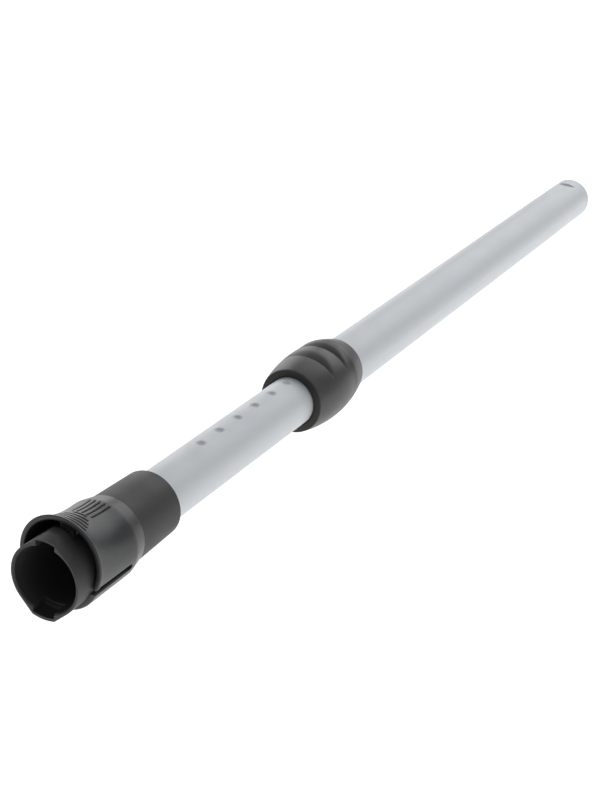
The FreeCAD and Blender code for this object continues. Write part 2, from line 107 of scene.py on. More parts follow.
def linear(code):
    """Linear colour of an sRGB hex code."""
    parts = [int(code[i:i + 2], 16) / 255 for i in (1, 3, 5)]
    return [c / 12.92 if c <= 0.04045 else ((c + 0.055) / 1.055) ** 2.4 for c in parts] + [1.0]


def colour(name, description, code):
    """A colour property whose default is an sRGB hex code."""
    return bpy.props.FloatVectorProperty(name=name, description=description, default=linear(code), size=4,
                                         min=0.0, max=1.0, subtype="COLOR")


class WandColours(bpy.types.PropertyGroup):
    """Colours of the finishes."""

    tube: colour("Tubes", "Silver paint of both tubes", "#cdd0d3")
    socket: colour("Socket", "Socket and collar", "#2e2d2c")
    release: colour("Release", "Thumb release", "#28282a")
    slide: colour("Slide", "Sliding lock", "#363534")
    ring: colour("Ring", "Sliding lock's front ring", "#1b1916")
    bearing: colour("Bearings", "Bushes and catch", "#d6d4cb")
    rubber: colour("Seal", "Seal in the guide bush", "#161616")
    wire: colour("Spring", "Return spring", "#b9bbbd")


class WandTubes(bpy.types.PropertyGroup):
    """Sizes of the two steel tubes."""

    wall: length("Wall", "Sheet thickness of both tubes", 0.8)
    dimple_first: length("First dimple", "Place of the first locking dimple", 149.5)
    dimple_pitch: length("Dimple pitch", "Distance between locking dimples", 20.9)
    dimple_number: count("Dimples", "Locking dimples along the inner tube", 18)
    dimple_depth: length("Dimple depth", "How deep a dimple is stamped", 1.45)
    dimple_floor: length("Dimple floor", "Radius of a dimple's level floor", 1.24)
    dimple_rim: length("Dimple rim", "Radius where a dimple runs out", 3.72)
    groove_start: length("Groove start", "Where the guide groove under the inner tube begins", 126.0)
    groove_depth: length("Groove depth", "Depth of the guide groove", 1.2)
    groove_radius: length("Groove radius", "Radius of the guide groove", 2.0)
    spigot: length("Spigot length", "Sized end that enters the floor tool", 62.0)
    spigot_step: length("Spigot step", "How much the spigot's radius is sized down", 0.2)
    pocket_wall: length("Pocket wall", "Latch pocket's wall, from the tube's end", 15.3)
    pocket_length: length("Pocket length", "Length of the latch pocket's ramp", 42.0)
    pocket_start_depth: length("Pocket step", "Depth of the latch pocket at its start", 0.5)
    pocket_depth: length("Pocket depth", "Depth of the latch pocket at its wall", 1.7)
    hole_place: length("Snap hole", "Middle of the bush's snap holes, from the tube's near end", 4.0)
    hole_width: length("Snap hole width", "Width of the bush's snap holes", 5.0)


class WandRelease(bpy.types.PropertyGroup):
    """Sizes of the thumb release moulding."""

    radius: length("Radius", "Outside of the straight barrel", 23.2)
    wall: length("Wall", "Wall of the moulding", 1.9)
    seat: length("Seat", "Radius of the seat on the socket's barrel", 20.5)
    rear_radius: length("Rear radius", "Outside of the rear edge", 21.15)
    nose: length("Nose", "Rounding of the lower shell's front edge", 1.6)
    lip: length("Turned lip", "Turned-in front edge of the lower shell", 3.0)
    lip_wall: length("Lip wall", "Wall at the tongue's lip", 2.5)
    crown: length("Lip height", "Lip's top above the wand's axis", 30.0)
    pinch: length("Lip pinch", "How far the lip's corners draw in", 0.5)
    bead: length("Bead", "Height of the bead along the lip", 0.5)
    bead_width: length("Bead width", "Width of that bead", 1.7)
    slit_angle: angle("Slit angle", "Slit's upper edge, from the top line", 102.6)
    slit_width: length("Slit width", "Gap between tongue and lower shell", 3.2)
    slit_end: length("Slit end", "Where the slit's straight part ends", 45.0)
    rim: length("Slit rim", "Width of the sunk line along the slit", 1.1)
    rim_depth: length("Slit rim depth", "How far that line is sunk", 0.18)
    bend: length("Bend", "Length over which the tongue bends", 6.0)
    bevel_start: length("Bevel start", "Where the rear bevel begins", 49.0)
    pusher_start: length("Pusher", "Where the pusher under the tongue begins", 17.0)
    pusher_length: length("Pusher length", "Length of the pusher", 8.0)
    pusher_width: length("Pusher width", "Width of the pusher", 7.0)
    pusher_foot: length("Pusher foot", "Foot of the pusher above the wand's axis", 21.2)


class WandGrip(bpy.types.PropertyGroup):
    """Sizes of the grip grooves on the tongue."""

    depth: length("Depth", "Depth of the grooves", 0.9)
    width: length("Width", "Width of the grooves", 1.3)
    cross_first: length("First cross groove", "Place of the first groove across", 17.0)
    cross_pitch: length("Cross pitch", "Distance between grooves across", 3.15)
    cross_number: count("Cross grooves", "Grooves across the tongue", 5)
    arch_width: length("Arch half width", "Half width of the arch that ends the cross grooves", 12.6)
    arch_length: length("Arch length", "Length of that arch", 13.8)
    long_start: length("Long groove start", "Where the lengthwise grooves begin", 32.0)
    long_length: length("Long groove length", "Length of the lengthwise grooves", 15.6)
    long_pitch: length("Long pitch", "Distance between lengthwise grooves", 3.05)
    long_number: count("Long grooves", "Lengthwise grooves", 5)


class WandSocket(bpy.types.PropertyGroup):
    """Sizes of the handle socket's details."""

    edge: length("Edges", "Rounding of the moulding's edges", 0.35)
    bore: length("Bore", "Radius of the socket's bore", 18.0)
    lead_in: length("Lead-in", "Depth of the mouth's lead-in in the solid", 1.4)
    taper: length("Taper", "Depth of the mouth's taper", 7.0)
    key_end: length("Keyway end", "Where the lower keyway's boss ends", 10.5)
    key_stop: length("Keyway stop", "Wall that closes a keyway", 1.1)
    key_half: length("Keyway half width", "Half the width of the lower keyway", 6.5)
    key_ceiling: length("Keyway depth", "Radius of the lower keyway's ceiling", 21.3)
    top_key_end: length("Upper keyway end", "Where the upper keyway's boss ends", 12.6)
    top_key_half: length("Upper keyway half width", "Half the width of the upper keyway", 5.75)
    top_key_ceiling: length("Upper keyway depth", "Radius of the upper keyway's ceiling", 22.1)
    barrel: length("Barrel", "Outside radius of the socket's barrel", 20.45)


class WandSlide(bpy.types.PropertyGroup):
    """Sizes of the sliding lock sleeve and its spring."""

    front_radius: length("Front radius", "Radius where the egg's line starts", 20.57)
    belly_radius: length("Belly radius", "Largest radius, half-way along", 24.5)
    rear_radius: length("Rear radius", "Radius at the rear edge's rounding", 19.95)
    trim: length("Trim", "How far the egg's line starts ahead of the ring", 1.0)
    edge: length("Rear edge", "Rounding of the rear edge", 1.0)
    tilt: angle("Tilt", "How far the egg's own axis climbs to the rear", 1.1)
    bore: length("Bore", "Radius of the bore on the guide bush", 18.95)
    rear_bore: length("Rear bore", "Radius of the bore on the outer tube", 17.75)
    flange: length("Rear flange", "Length of the rear bore", 5.8)
    scoop_depth: length("Scoop depth", "Depth of the thumb scoops", 2.9)
    scoop_angle: angle("Scoop angle", "Where a scoop runs out, from the top line", 58.0)
    scoop_floor: bpy.props.FloatProperty(name="Scoop floor", description="Share of a scoop's length before its floor",
                                         default=0.16, min=0.1, max=0.9, subtype="FACTOR")
    scoop_front: length("Front scoop", "Front scoop, from the ring's front", 18.5)
    scoop_front_length: length("Front scoop length", "Length of the front scoop", 12.5)
    scoop_rear: length("Rear scoop", "Rear scoop, from the ring's front", 36.5)
    scoop_rear_length: length("Rear scoop length", "Length of the rear scoop", 11.0)
    brow_rise: length("Brow rise", "Raised line that the brow is turned about", 1.0)
    brow_drop: length("Brow drop", "Brow's crest below the belly's largest radius", 0.1)
    brow_length: length("Brow length", "From the brow's crest to where it runs out", 14.0)
    brow_end: length("Brow end", "Brow's fall where it runs out", 3.9)
    travel: length("Travel", "How far the sleeve slides", 6.0)
    catch_half: length("Catch half width", "Half the width of the catch's head", 4.6)
    catch_play: length("Catch play", "Room round the catch inside the sleeve", 0.3)
    trunnion_drop: length("Trunnion drop", "Top of the catch's trunnions below its head", 0.35)
    wire: length("Spring wire", "Diameter of the return spring's wire", 1.0)
    coil: length("Coil", "Radius of the return spring at its wire's middle", 18.3)
    turns: count("Turns", "Turns of the return spring", 2)


class WandStage(bpy.types.PropertyGroup):
    """Floor, light and camera."""

    floor_drop: length("Floor", "Floor below the wand's axis", 60.0)
    floor_half: length("Floor reach", "Half the length of the floor's sides", 80000.0)
    floor_glow: strength("Floor glow", "Light that the floor gives back evenly", 0.8)
    room_front: strength("Room before", "Light of the room before the socket", 0.42)
    room_back: strength("Room behind", "Light of the room behind the far end", 0.26)
    backdrop: strength("Backdrop softbox", "Power of the wide softbox behind the far end", 18.0)
    edge: strength("Edge softbox", "Power of the softbox behind, on the left", 8.0)
    side: strength("Side softbox", "Power of the softbox on the left", 5.0)
    fill: strength("Fill softbox", "Power of the softbox on the right", 4.0)
    lens: bpy.props.FloatProperty(name="Lens", description="Focal length of the camera", default=73.2,
                                  subtype="DISTANCE_CAMERA", unit="CAMERA")


# Finishes

def add_node(tree, kind, inputs=(), operation=None, **settings):
    """A node with its settings; inputs, by name or in order, take a value, a socket, or a node for its first output."""
    node = tree.nodes.new(kind)
    if operation:
        node.operation = operation
    for key, value in settings.items():
        setattr(node, key, value)
    for key, value in inputs.items() if isinstance(inputs, dict) else enumerate(inputs):
        if isinstance(value, bpy.types.Node):
            value = value.outputs[0]
        if isinstance(value, bpy.types.NodeSocket):
            tree.links.new(value, node.inputs[key])
        else:
            node.inputs[key].default_value = value
    return node


def finish(name, base, roughness, grain, relief, spread=0.05, **shader):
    """A finish with a grain of that size in mm, raised by relief in mm, and a slowly varying roughness."""
    material = bpy.data.materials.new(name)
    material.use_nodes = True
    material.node_tree.nodes.clear()
    node = partial(add_node, material.node_tree)
    place = node("ShaderNodeTexCoord").outputs["Object"]
    in_mm = node(VECTOR_MATH, {0: place, "Scale": 1 / MM}, "SCALE")
    fine = node("ShaderNodeTexNoise", {"Vector": in_mm, "Scale": 1 / grain, "Detail": 2.0})
    slow = node("ShaderNodeTexNoise", {"Vector": in_mm, "Scale": 0.06, "Detail": 3.0})
    bump = node("ShaderNodeBump", {"Height": fine, "Distance": relief * MM, "Strength": 1.0})
    gloss = node(MAP_RANGE, {"Value": slow, "From Min": 0.3, "From Max": 0.7,
                             "To Min": roughness - spread, "To Max": roughness + spread})
    values = {key.replace("_", " ").title(): value for key, value in shader.items()}
    principled = node("ShaderNodeBsdfPrincipled", {"Base Color": base, "Roughness": gloss, "Normal": bump, **values})
    node("ShaderNodeOutputMaterial", {"Surface": principled})
    return material


def make_finishes(c):
    """Every finish of the wand, by the record's slot."""
    return {
        # pale satin paint with metal flake in it: long soft highlights and no mirror
        "tube_paint": finish("satin silver paint", c.tube, 0.5, 0.25, 0.004, metallic=0.12),
        # fine spark-eroded mould texture: dark grey with a dull sheen
        "socket_plastic": finish("spark-eroded black ABS", c.socket, 0.55, 0.35, 0.03),
        # polished mould: black with a soft, even sheen
        "sleeve_plastic": finish("satin black ABS", c.release, 0.36, 0.8, 0.004),
        # matt mould: charcoal that catches the light broadly
        "slide_plastic": finish("matt charcoal ABS", c.slide, 0.40, 0.4, 0.01),
        # matt, nearly black, a little warm
        "ring_plastic": finish("matt black acetal", c.ring, 0.6, 0.4, 0.01),
        # waxy off-white of a natural bearing plastic
        "bearing_plastic": finish("natural acetal", c.bearing, 0.4, 0.5, 0.002),
        "catch_plastic": finish("natural acetal catch", c.bearing, 0.38, 0.5, 0.002),
        # soft black without shine
        "seal_rubber": finish("seal rubber", c.rubber, 0.75, 0.3, 0.01),
        # drawn wire, bright and slightly streaked
        "spring_steel": finish("drawn spring wire", c.wire, 0.28, 0.15, 0.003, metallic=1.0),
    }


# Geometry trees

def new_tree(name, sizes):
    """A geometry tree with a surface in and out, a finish and named sizes; gives its input sockets too."""
    tree = bpy.data.node_groups.new(name, "GeometryNodeTree")
    kinds = {"Surface": "NodeSocketGeometry", "Finish": "NodeSocketMaterial"}
    for name in ("Surface", "Finish", *sizes):
        tree.interface.new_socket(name, in_out="INPUT", socket_type=kinds.get(name, "NodeSocketFloat"))
    tree.interface.new_socket("Surface", in_out="OUTPUT", socket_type=kinds["Surface"])
    return tree, add_node(tree, "NodeGroupInput").outputs


def close_tree(tree, ports, surface):
    """Ends a tree in one plain mesh with its finish."""
    plain = add_node(tree, "GeometryNodeRealizeInstances", {"Geometry": surface})
    done = add_node(tree, "GeometryNodeSetMaterial", {"Geometry": plain, "Material": ports["Finish"]})
    add_node(tree, "NodeGroupOutput", [done])


def baked(piece, modifier):
    """The piece with that modifier's result as its plain mesh."""
    made = bpy.data.meshes.new_from_object(piece.evaluated_get(bpy.context.evaluated_depsgraph_get()))
    piece.modifiers.remove(modifier)
    plain, piece.data = piece.data, made
    bpy.data.meshes.remove(plain)
    made.name = piece.name
    return piece


def worked(piece, tree, slot, sizes):
    """The piece as its tree makes it with those sizes, turned to a plain mesh."""
    modifier = piece.modifiers.new(tree.name, "NODES")
    modifier.node_group = tree
    values = {"Finish": finishes[slot], **sizes}
    for socket in tree.interface.items_tree:
        if socket.in_out == "INPUT" and socket.name in values:
            modifier[socket.identifier] = values[socket.name]
    return baked(piece, modifier)


def nearest_line(node, value, first, pitch, low, high):
    """Number of the nearest of a row of lines, kept within a range, and the signed distance from it."""
    apart = node(MATH, (value, first), "SUBTRACT")
    spaces = node(MATH, (apart, pitch), "DIVIDE")
    whole = node(MATH, [spaces], "ROUND")
    not_under = node(MATH, (whole, low), "MAXIMUM")
    number = node(MATH, (not_under, high), "MINIMUM")
    left = node(MATH, (spaces, number), "SUBTRACT")
    return number, node(MATH, (left, pitch), "MULTIPLY")


def dimple_tree():
    """Stamps a row of round pits into the top of a tube."""
    tree, ports = new_tree("locking dimples", ("First", "Pitch", "Last", "Floor radius", "Rim radius", "Depth"))
    node = partial(add_node, tree)
    spot = node("ShaderNodeSeparateXYZ", [node("GeometryNodeInputPosition")]).outputs
    _, off = nearest_line(node, spot["X"], ports["First"], ports["Pitch"], 0.0, ports["Last"])
    flat = node("ShaderNodeCombineXYZ", {"X": off, "Y": spot["Y"]})
    away = node(VECTOR_MATH, [flat], "LENGTH").outputs["Value"]
    pit = node(MAP_RANGE, {"Value": away, "From Min": ports["Floor radius"], "From Max": ports["Rim radius"],
                           "To Min": ports["Depth"], "To Max": 0.0}, interpolation_type="SMOOTHSTEP")
    on_top = node(MATH, (spot["Z"], 0.0), "GREATER_THAN")
    sink = node(MATH, (pit, on_top), "MULTIPLY")
    spoke = node("ShaderNodeCombineXYZ", {"Y": spot["Y"], "Z": spot["Z"]})
    outward = node(VECTOR_MATH, [spoke], "NORMALIZE")
    inward = node(MATH, (sink, -1.0), "MULTIPLY")
    move = node(VECTOR_MATH, {0: outward, "Scale": inward}, "SCALE")
    close_tree(tree, ports, node("GeometryNodeSetPosition", {"Geometry": ports["Surface"], "Offset": move}))
    return tree


def grip_tree():
    """Sinks cross grooves under an arch and lengthwise grooves behind it into the tongue's outer face."""
    tree, ports = new_tree("grip grooves", (
        "Cross first", "Cross pitch", "Cross last", "Arch width", "Arch length",
        "Long start", "Long end", "Long pitch", "Long last", "Width", "Depth"))
    node = partial(add_node, tree)
    spot = node("ShaderNodeSeparateXYZ", [node("GeometryNodeInputPosition")]).outputs
    across = node("GeometryNodeInputNamedAttribute", {"Name": "across"}, data_type="FLOAT")
    outside = node("GeometryNodeInputNamedAttribute", {"Name": "outside"}, data_type="FLOAT")
    # a groove is level over its core and runs out at its brim, both measured from its middle line
    core = node(MATH, (ports["Width"], 0.15), "MULTIPLY")
    brim = node(MATH, (ports["Width"], 0.6), "MULTIPLY")
    row, row_off = nearest_line(node, spot["X"], ports["Cross first"], ports["Cross pitch"], 0.0, ports["Cross last"])
    long_first = node(MATH, (ports["Long last"], -1.0), "MULTIPLY")
    _, column_off = nearest_line(node, across, 0.0, ports["Long pitch"], long_first, ports["Long last"])
    along = node(MATH, (row, ports["Cross pitch"]), "MULTIPLY")
    share = node(MATH, (along, ports["Arch length"]), "DIVIDE")
    rest = node(MATH, (1.0, share), "SUBTRACT")
    root = node(MATH, [rest], "SQRT")
    reach = node(MATH, (root, ports["Arch width"]), "MULTIPLY")
    side = node(MATH, [across], "ABSOLUTE")
    past_arch = node(MATH, (side, reach), "SUBTRACT")
    before = node(MATH, (ports["Long start"], spot["X"]), "SUBTRACT")
    behind = node(MATH, (spot["X"], ports["Long end"]), "SUBTRACT")
    past_run = node(MATH, (before, behind), "MAXIMUM")
    sunk = []
    for off, past in ((row_off, past_arch), (column_off, past_run)):
        apart = node(MATH, [off], "ABSOLUTE")
        fades = [node(MAP_RANGE, {"Value": value, "From Min": low, "From Max": brim, "To Min": 1.0, "To Max": 0.0},
                      interpolation_type="SMOOTHSTEP") for value, low in ((apart, core), (past, 0.0))]
        sunk.append(node(MATH, fades, "MULTIPLY"))
    either = node(MATH, sunk, "MAXIMUM")
    deep = node(MATH, (either, ports["Depth"]), "MULTIPLY")
    inward = node(MATH, (deep, outside), "MULTIPLY")
    under = node(VECTOR_MATH, {0: node("GeometryNodeInputNormal"), "Scale": -1.0}, "SCALE")
    move = node(VECTOR_MATH, {0: under, "Scale": inward}, "SCALE")
    close_tree(tree, ports, node("GeometryNodeSetPosition", {"Geometry": ports["Surface"], "Offset": move}))
    return tree


def coil_tree():
    """Winds a round wire along the wand's axis."""
    tree, ports = new_tree("return coil", ("Start", "Length", "Turns", "Radius", "Wire radius"))
    node = partial(add_node, tree)
    path = node("GeometryNodeCurveSpiral", {
        "Resolution": 48, "Rotations": ports["Turns"], "Start Radius": ports["Radius"], "End Radius": ports["Radius"],
        "Height": ports["Length"]})
    section = node("GeometryNodeCurvePrimitiveCircle", {"Resolution": 12, "Radius": ports["Wire radius"]})
    wire = node("GeometryNodeCurveToMesh", {"Curve": path, "Profile Curve": section, "Fill Caps": True})
    spot = node("ShaderNodeCombineXYZ", {"X": ports["Start"]})
    close_tree(tree, ports, node("GeometryNodeTransform", {
        "Geometry": wire, "Translation": spot, "Rotation": (0.0, math.pi / 2, 0.0)}))
    return tree


# Meshes

def new_piece(name, data):
    """A new object at the origin with that mesh, lamp or camera."""
    piece = bpy.data.objects.new(name, data)
    bpy.context.scene.collection.objects.link(piece)
    return piece


def soften(mesh, sharp=38.0):
    """Shades a mesh smooth up to an angle in degrees."""
    mesh.shade_smooth()
    mesh.set_sharp_from_angle(angle=math.radians(sharp))


def smooth_piece(name, points, faces):
    """A new closed piece from points in mm, its faces turned outwards and shaded smooth."""
    mesh = bpy.data.meshes.new(name)
    mesh.from_pydata((np.asarray(points) * MM).tolist(), [], faces)
    form = bmesh.new()
    form.from_mesh(mesh)
    bmesh.ops.delete(form, geom=[v for v in form.verts if not v.link_faces], context="VERTS")
    bmesh.ops.recalc_face_normals(form, faces=form.faces)
    form.to_mesh(mesh)
    form.free()
    soften(mesh)
    return new_piece(name, mesh)


def around(x, r, turn, lift=0.0):
    """Points at radius r and angle turn about a line that is lifted over the axis; all four may be grids."""
    x, r, turn, lift = np.broadcast_arrays(x, r, turn, lift)
    return np.stack([x, r * np.sin(turn), r * np.cos(turn) + lift], axis=-1)


def quads(tall, wide, closed_rows=False, closed_columns=False):
    """Corner numbers of each cell of a grid, as an array of cells by 4."""
    row, column = np.meshgrid(np.arange(tall if closed_rows else tall - 1),
                              np.arange(wide if closed_columns else wide - 1), indexing="ij")
    below, beside = (row + 1) % tall, (column + 1) % wide
    return np.stack([row * wide + column, row * wide + beside, below * wide + beside, below * wide + column], axis=-1)


def turned_piece(name, grid):
    """A closed ring from a grid of points: rows join round the section, columns round the axis."""
    tall, wide = grid.shape[:2]
    return smooth_piece(name, grid.reshape(-1, 3), quads(tall, wide, True, True).reshape(-1, 4).tolist())


def walled_piece(name, outer, inner, kept=None, closed=False):
    """A wall between two grids of points that lie over each other, closed along every edge of the kept cells."""
    tall, wide = outer.shape[:2]
    cells = quads(tall, wide, False, closed)
    if kept is not None:
        cells = cells[kept]
    deep = tall * wide
    faces, edges = [], set()
    for quad in cells.reshape(-1, 4).tolist():
        faces.append(quad)
        faces.append([k + deep for k in reversed(quad)])
        for a, b in zip(quad, quad[1:] + quad[:1]):
            if (b, a) in edges:
                edges.remove((b, a))
            else:
                edges.add((a, b))
    faces += [[b, a, a + deep, b + deep] for a, b in sorted(edges)]
    return smooth_piece(name, np.concatenate([outer.reshape(-1, 3), inner.reshape(-1, 3)]), faces)


def soft_min(a, b, blend):
    """The lower of two heights, with their crossing rounded over a width."""
    mix = np.clip(0.5 + 0.5 * (b - a) / blend, 0, 1)
    return b * (1 - mix) + a * mix - blend * mix * (1 - mix)


def ease(t):
    """0 to 1 with level ends."""
    t = np.clip(t, 0, 1)
    return t * t * (3 - 2 * t)


def round_off(distance, size):
    """How far a surface sinks near an edge that is rounded by that size."""
    near = np.clip(size - distance, 0, size)
    return size - np.sqrt(size ** 2 - near ** 2)


def steps(*runs):
    """Values of several runs (first, last, step) in order, without repeats."""
    values = np.concatenate([np.linspace(a, b, max(2, int(round(abs(b - a) / step)) + 1)) for a, b, step in runs])
    return values[np.concatenate([[True], np.diff(values) > TINY])]


def merged_copy(name, node):
    """A new piece with the CAD node's own form, its loose triangles merged."""
    form = bmesh.new()
    form.from_mesh(frame["nodes"][node].data)
    bmesh.ops.remove_doubles(form, verts=form.verts, dist=MERGE)
    mesh = bpy.data.meshes.new(name)
    form.to_mesh(mesh)
    form.free()
    return new_piece(name, mesh)


def combine(piece, other, operation):
    """Joins another closed piece to this one as one body, or cuts it out."""
    modifier = piece.modifiers.new("combine", "BOOLEAN")
    modifier.operation, modifier.solver, modifier.object = operation, "EXACT", other
    baked(piece, modifier)
    bpy.data.objects.remove(other)


def softened(piece, width):
    """The piece with its sharp edges rounded."""
    form = bmesh.new()
    form.from_mesh(piece.data)
    bmesh.ops.remove_doubles(form, verts=form.verts, dist=MERGE)
    level, crease = math.radians(0.5), math.radians(28)
    bmesh.ops.dissolve_limit(form, angle_limit=level, verts=form.verts, edges=form.edges)
    sharp = [e for e in form.edges if e.is_manifold and e.calc_face_angle() > crease]
    bmesh.ops.bevel(form, geom=sharp, offset=width * MM, segments=3, profile=0.5, affect="EDGES", clamp_overlap=True)
    form.to_mesh(piece.data)
    form.free()
    soften(piece.data)
    round_shading(piece.data)
    return piece


def round_shading(mesh, close=0.975):
    """Shades the narrow flat faces of a turned surface as the round it stands for."""
    normals = [normal.vector.copy() for normal in mesh.corner_normals]
    for face in mesh.polygons:
        middle = Vector((0, face.center.y, face.center.z)).normalized()
        facing = middle.dot(face.normal)
        if abs(facing) < close:
            continue
        radial = math.copysign(math.sqrt(1 - face.normal.x ** 2), facing)
        for corner in face.loop_indices:
            spot = mesh.vertices[mesh.loops[corner].vertex_index].co
            spoke = Vector((0, spot.y, spot.z)).normalized()
            normals[corner] = Vector((face.normal.x, 0, 0)) + spoke * radial
    mesh.normals_split_custom_set(normals)


def dress(piece, slot):
    """Gives a piece the finish of the record's slot."""
    piece.data.materials.clear()
    piece.data.materials.append(finishes[slot])


def stand_for(piece, node, body, slot):
    """A finished piece takes a CAD node's place on its body."""
    dress(piece, slot)
    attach(piece, body)
    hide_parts(node)


def span(node):
    """First and last x of a CAD node, and its largest half height, in mm."""
    low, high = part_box(node)
    return low.x / MM, high.x / MM, max(high.z, -low.z) / MM


# Pieces

class WAND_OT_outer_tube(bpy.types.Operator):
    """Outer tube: sized spigot, its stamped latch pocket and the bush's snap holes"""

    bl_idname = "wand.outer_tube"
    bl_label = "Outer tube"

    def execute(self, context):
        s = context.scene.wand_tubes
        start, end, radius = span("outer_tube")
        wall = s.wall / MM
        step_x = end - s.spigot / MM
        wall_x = end - s.pocket_wall / MM
        ramp_x = wall_x - s.pocket_length / MM
        hole_x, hole_half = start + s.hole_place / MM, s.hole_width / MM / 2
        hole_turn = math.degrees(math.asin(hole_half / radius))
        # rows lie close together at the ends, the spigot's step and the pocket's start and wall
        xs = steps((start, start + 0.4, 0.1), (start + 0.4, hole_x - hole_half, 1),
                   (hole_x - hole_half, hole_x + hole_half, 5), (hole_x + hole_half, step_x - 2, 20),
                   (step_x - 2, ramp_x - 1, 0.5), (ramp_x - 1, ramp_x + 2, 0.15), (ramp_x + 2, wall_x - 0.5, 0.75),
                   (wall_x - 0.5, wall_x + 2, 0.12), (wall_x + 2, end - 0.4, 1.0), (end - 0.4, end, 0.1))
        turns = np.radians(steps((-42, 42, 1), (42, 90 - hole_turn, 4), (90 - hole_turn, 90 + hole_turn, 20),
                                 (90 + hole_turn, 270 - hole_turn, 4), (270 - hole_turn, 270 + hole_turn, 20),
                                 (270 + hole_turn, 318, 4))[:-1])
        x, turn = np.meshgrid(xs, turns, indexing="ij")
        sized = radius - s.spigot_step / MM
        step_run, start_run, wall_run, crease, cut_edge = 0.8, 0.7, 1.1, 0.3, 0.3
        barrel = radius - s.spigot_step / MM * ease((x - step_x + step_run / 2) / step_run)
        down = np.clip((x - ramp_x) * MM / s.pocket_length, 0, 1)
        ramp = s.pocket_start_depth + (s.pocket_depth - s.pocket_start_depth) * down
        pressed = ease((x - ramp_x) / start_run) * (1 - ease((x - wall_x) / wall_run))
        # ahead of the pocket and behind it, its floor lies this far outside the tube
        clear = 0.6
        floor_z = sized + clear - pressed * (clear + ramp / MM)
        facing = np.cos(turn)
        pocket = np.where(facing > 0.5, floor_z / np.maximum(facing, 0.5), 2 * radius)
        skin = soft_min(barrel, pocket, crease)
        edge = round_off(np.minimum(x - start, end - x), cut_edge)
        bore = skin - wall
        kept = np.ones((len(xs) - 1, len(turns)), bool)
        mid_x = (xs[:-1] + xs[1:]) / 2
        mid_turn = (turns + np.append(turns[1:], turns[0] + 2 * math.pi)) / 2
        kept[np.ix_(np.abs(mid_x - hole_x) < hole_half, np.abs(np.cos(mid_turn)) * radius < hole_half)] = False
        piece = walled_piece("outer_tube_skin", around(x, skin - edge, turn), around(x, bore, turn), kept, True)
        stand_for(piece, "outer_tube", "tool_tube", "tube_paint")
        return {"FINISHED"}


class WAND_OT_inner_tube(bpy.types.Operator):
    """Inner tube: row of stamped locking dimples on top, guide groove below"""

    bl_idname = "wand.inner_tube"
    bl_label = "Inner tube"

    def execute(self, context):
        s = context.scene.wand_tubes
        start, end, radius = span("inner_tube")
        first, pitch, reach = s.dimple_first / MM, s.dimple_pitch / MM, s.dimple_rim / MM + 0.28
        groove_x, groove_end = s.groove_start / MM, span("end_bush")[0]
        # rows and columns lie close together round the dimples, and at the groove and its ends
        runs = [(start, groove_x - 1, 20), (groove_x - 1, groove_x + 1, 0.25), (groove_x + 1, first - reach, 8)]
        for number in range(s.dimple_number):
            middle = first + number * pitch
            runs += [(middle - reach, middle + reach, 0.4), (middle + reach, middle + pitch - reach, 7)]
        runs[-1] = (runs[-1][0], groove_end - 1, 5)
        xs = steps(*runs, (groove_end - 1, groove_end + 1, 0.25), (groove_end + 1, end, 5))
        turns = np.radians(steps((-16, 16, 1.3), (16, 170, 7), (170, 190, 1.25), (190, 344, 7))[:-1])
        x, turn = np.meshgrid(xs, turns, indexing="ij")
        centre = radius - (s.groove_depth - s.groove_radius) / MM
        side = centre * np.sin(turn)
        inside = np.clip((s.groove_radius / MM) ** 2 - side ** 2, 0, None)
        hollow = np.where((np.cos(turn) < 0) & (inside > 0), -centre * np.cos(turn) - np.sqrt(inside), radius + 1)
        groove_run, crease = 0.9, 0.3
        rolled = ease((x - groove_x) / groove_run) * (1 - ease((x - groove_end) / groove_run))
        skin = soft_min(np.full(x.shape, radius), radius + 1 - rolled * (radius + 1 - hollow), crease)
        piece = walled_piece("inner_tube_skin", around(x, skin, turn), around(x, skin - s.wall / MM, turn), None, True)
        worked(piece, dimple_tree(), "tube_paint", {
            "First": s.dimple_first, "Pitch": s.dimple_pitch, "Last": float(s.dimple_number - 1),
            "Floor radius": s.dimple_floor, "Rim radius": s.dimple_rim, "Depth": s.dimple_depth})
        stand_for(piece, "inner_tube", "handle_tube", "tube_paint")
        return {"FINISHED"}


class WAND_OT_socket(bpy.types.Operator):
    """Handle socket and collar: rounded edges, a long taper in the mouth and closed keyways"""

    bl_idname = "wand.socket"
    bl_label = "Socket"

    def execute(self, context):
        s = context.scene.wand_socket
        piece = merged_copy("socket_moulding", "socket_body")
        self.ease_mouth(s, piece)
        combine(piece, self.key_stop(s, s.key_end, s.key_half, s.key_ceiling, math.pi), "UNION")
        combine(piece, self.key_stop(s, s.top_key_end, s.top_key_half, s.top_key_ceiling, 0.0), "UNION")
        stand_for(softened(piece, s.edge / MM), "socket_body", "handle_tube", "socket_plastic")
        return {"FINISHED"}

    def ease_mouth(self, s, piece):
        """Draws the mouth's lead-in out to a long, slight taper, so that its rim stays thin."""
        near_x, near_bore = 0.05 * MM, 0.1 * MM
        for vertex in piece.data.vertices:
            reach = math.hypot(vertex.co.y, vertex.co.z)
            if abs(vertex.co.x - s.lead_in) < near_x and abs(reach - s.bore) < near_bore:
                vertex.co.x = s.taper

    def key_stop(self, s, end, half_width, ceiling, middle):
        """Wall at the back of a keyway, sunk a little into what surrounds it."""
        sunk, clear = 0.2, 0.02
        half = math.asin((half_width / MM + sunk) / (s.barrel / MM))
        xs = np.array([(end - s.key_stop) / MM, end / MM - clear])
        x, turn = np.meshgrid(xs, np.linspace(middle - half, middle + half, 15), indexing="ij")
        return walled_piece("key_stop", around(x, ceiling / MM + sunk, turn), around(x, s.barrel / MM - 1.0, turn))


